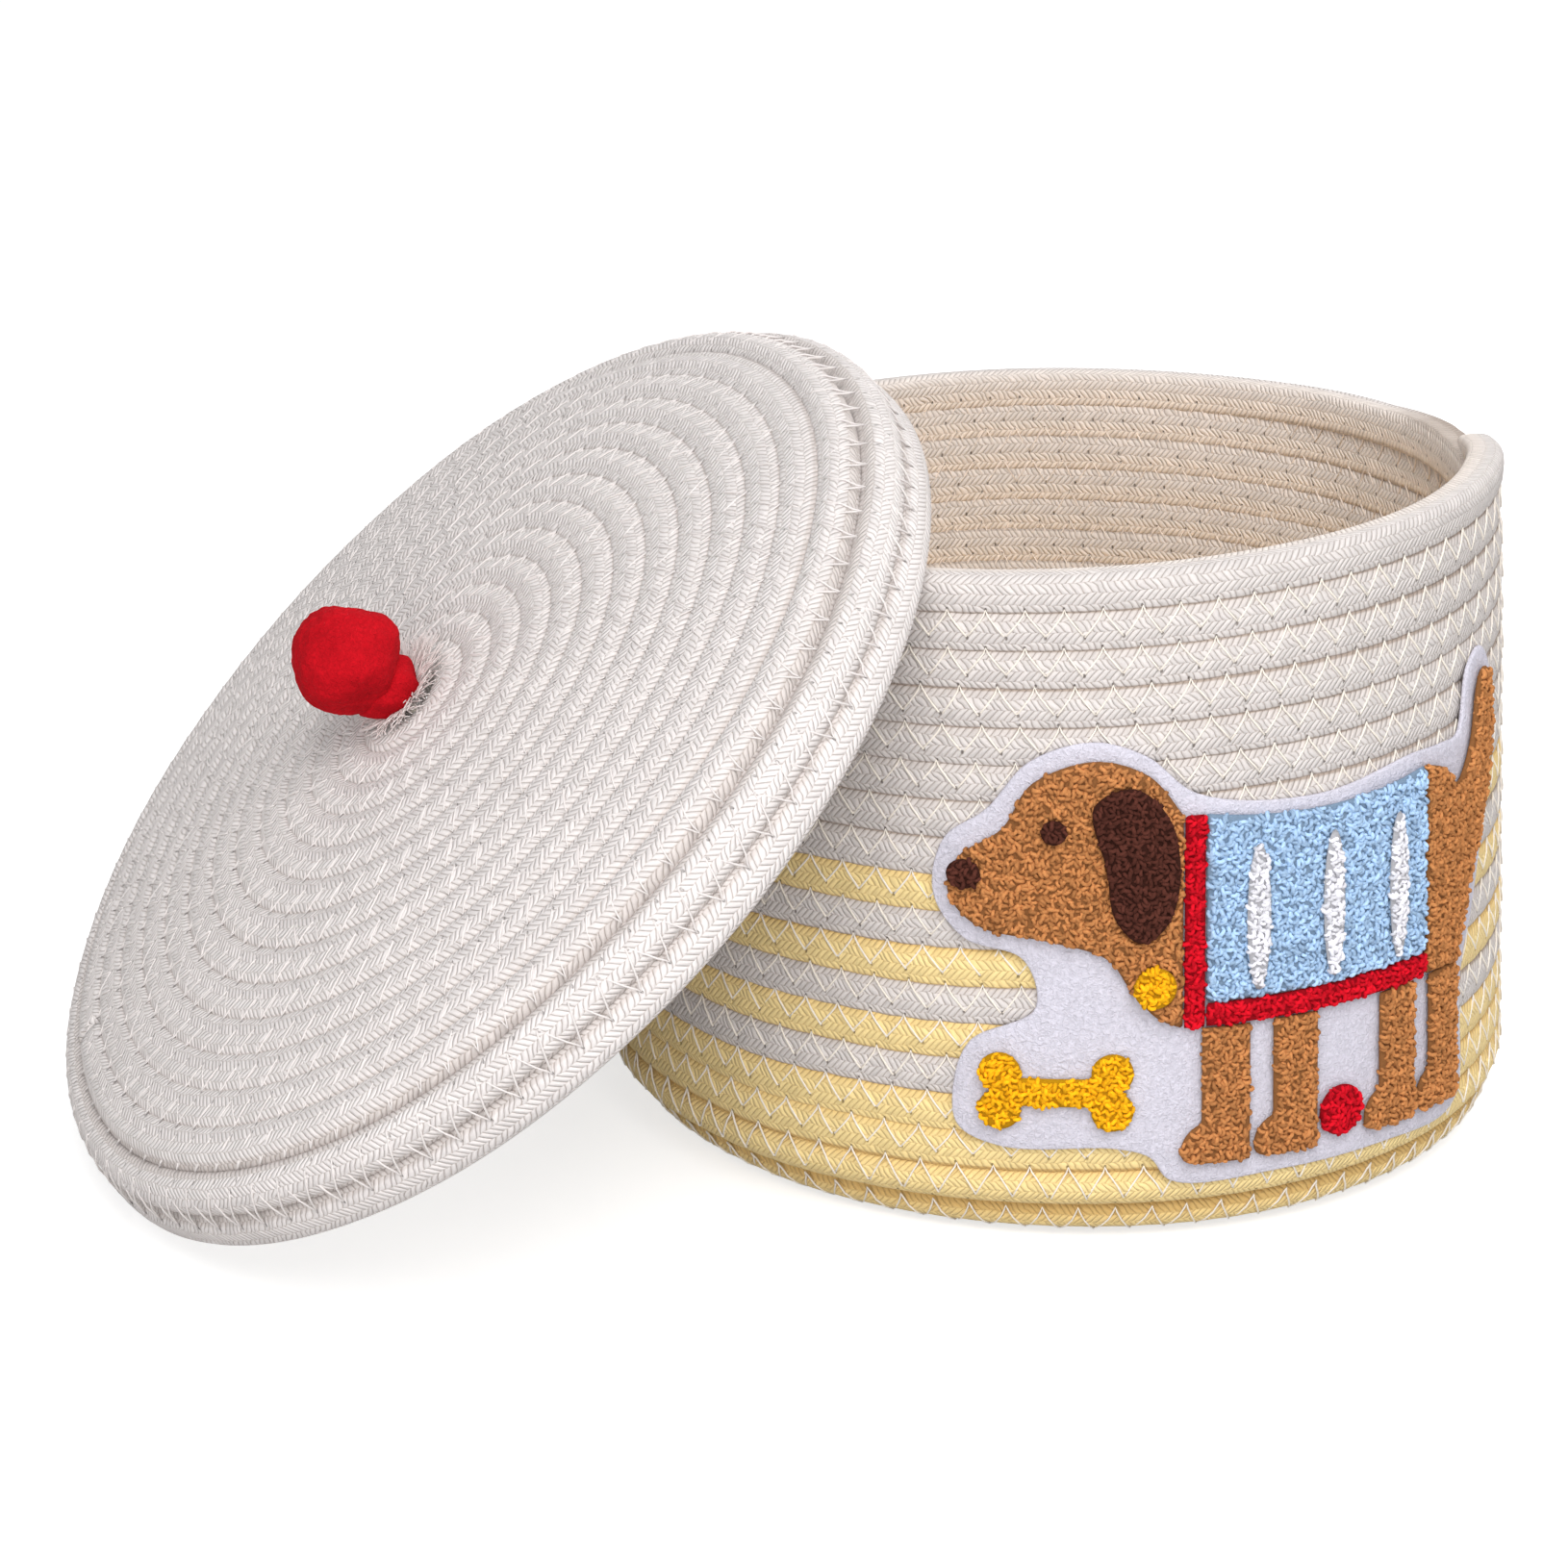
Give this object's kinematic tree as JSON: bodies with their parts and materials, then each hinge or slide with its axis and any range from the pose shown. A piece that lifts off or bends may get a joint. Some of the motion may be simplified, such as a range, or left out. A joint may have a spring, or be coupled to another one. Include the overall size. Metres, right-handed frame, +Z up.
{
  "type": "dog basket",
  "caption": "Round woven rope basket with striped walls, a loose domed lid with a felt ball knob, and a dog figure in loop pile on the wall.",
  "frame": {"origin": "centre of the basket's flat underside, on the surface that it stands on", "axes": "+Z up along the basket's axis, -Y towards the side that the dog figure turns to the viewer, lid leaning on the -X side"},
  "size_m": [0.3626, 0.3114, 0.1943],
  "materials": {
    "white_cotton_rope": "matte braided cotton rope, warm white",
    "yellow_cotton_rope": "matte braided cotton rope, soft yellow",
    "lilac_felt": "pale lilac felt",
    "brown_pile": "short loop pile, tan brown",
    "dark_brown_pile": "short loop pile, dark brown",
    "light_blue_pile": "short loop pile, light blue",
    "cream_pile": "short loop pile, cream",
    "yellow_pile": "short loop pile, golden yellow",
    "red_pile": "short loop pile, red",
    "red_felt": "felted wool ball, bright red",
    "cream_thread": "cotton thread, cream"
  },
  "bodies": {
    "basket": {"upper_white_rope": "white_cotton_rope", "yellow_row_1": "yellow_cotton_rope", "white_row_1": "white_cotton_rope", "yellow_row_2": "yellow_cotton_rope", "white_row_2": "white_cotton_rope", "yellow_row_3": "yellow_cotton_rope", "white_row_3": "white_cotton_rope", "lower_yellow_rope": "yellow_cotton_rope", "foot_rope": "yellow_cotton_rope", "base_disc": "yellow_cotton_rope", "felt_backing": "lilac_felt", "head_pile": "brown_pile", "ear_patch": "dark_brown_pile", "eye_patch": "dark_brown_pile", "nose_patch": "dark_brown_pile", "name_tag_patch": "yellow_pile", "coat_pile": "light_blue_pile", "coat_trim": "red_pile", "coat_hem": "red_pile", "coat_stripe_1": "cream_pile", "coat_stripe_2": "cream_pile", "coat_stripe_3": "cream_pile", "rump_and_tail": "brown_pile", "leg_1": "brown_pile", "leg_2": "brown_pile", "leg_3": "brown_pile", "leg_4": "brown_pile", "bone_pile": "yellow_pile", "toy_ball_pile": "red_pile"},
    "pompom": {"pompom_ball": "red_felt"},
    "lid": {"lid_crown_rope": "white_cotton_rope", "lid_skirt_rope": "white_cotton_rope", "ball_thread": "cream_thread", "frayed_rope_end": "cream_thread"}
  },
  "joints": [
    {"name": "lid_carry", "type": "hinge", "parent": "basket", "child": "pompom", "pos_m": [-0.10031, -0.04893, 0.20245], "axis": [-0.4384, 0.8988, 0], "range_deg": [0, 224]},
    {"name": "lid_tilt", "type": "hinge", "parent": "pompom", "child": "lid", "pos_m": [-0.16806, -0.08197, 0.12966], "axis": [-0.4384, 0.8988, 0], "range_deg": [-182.5, 0]}
  ],
  "couplings": [
    {"joint": "lid_tilt", "follows": "lid_carry", "ratio": -0.81351}
  ]
}
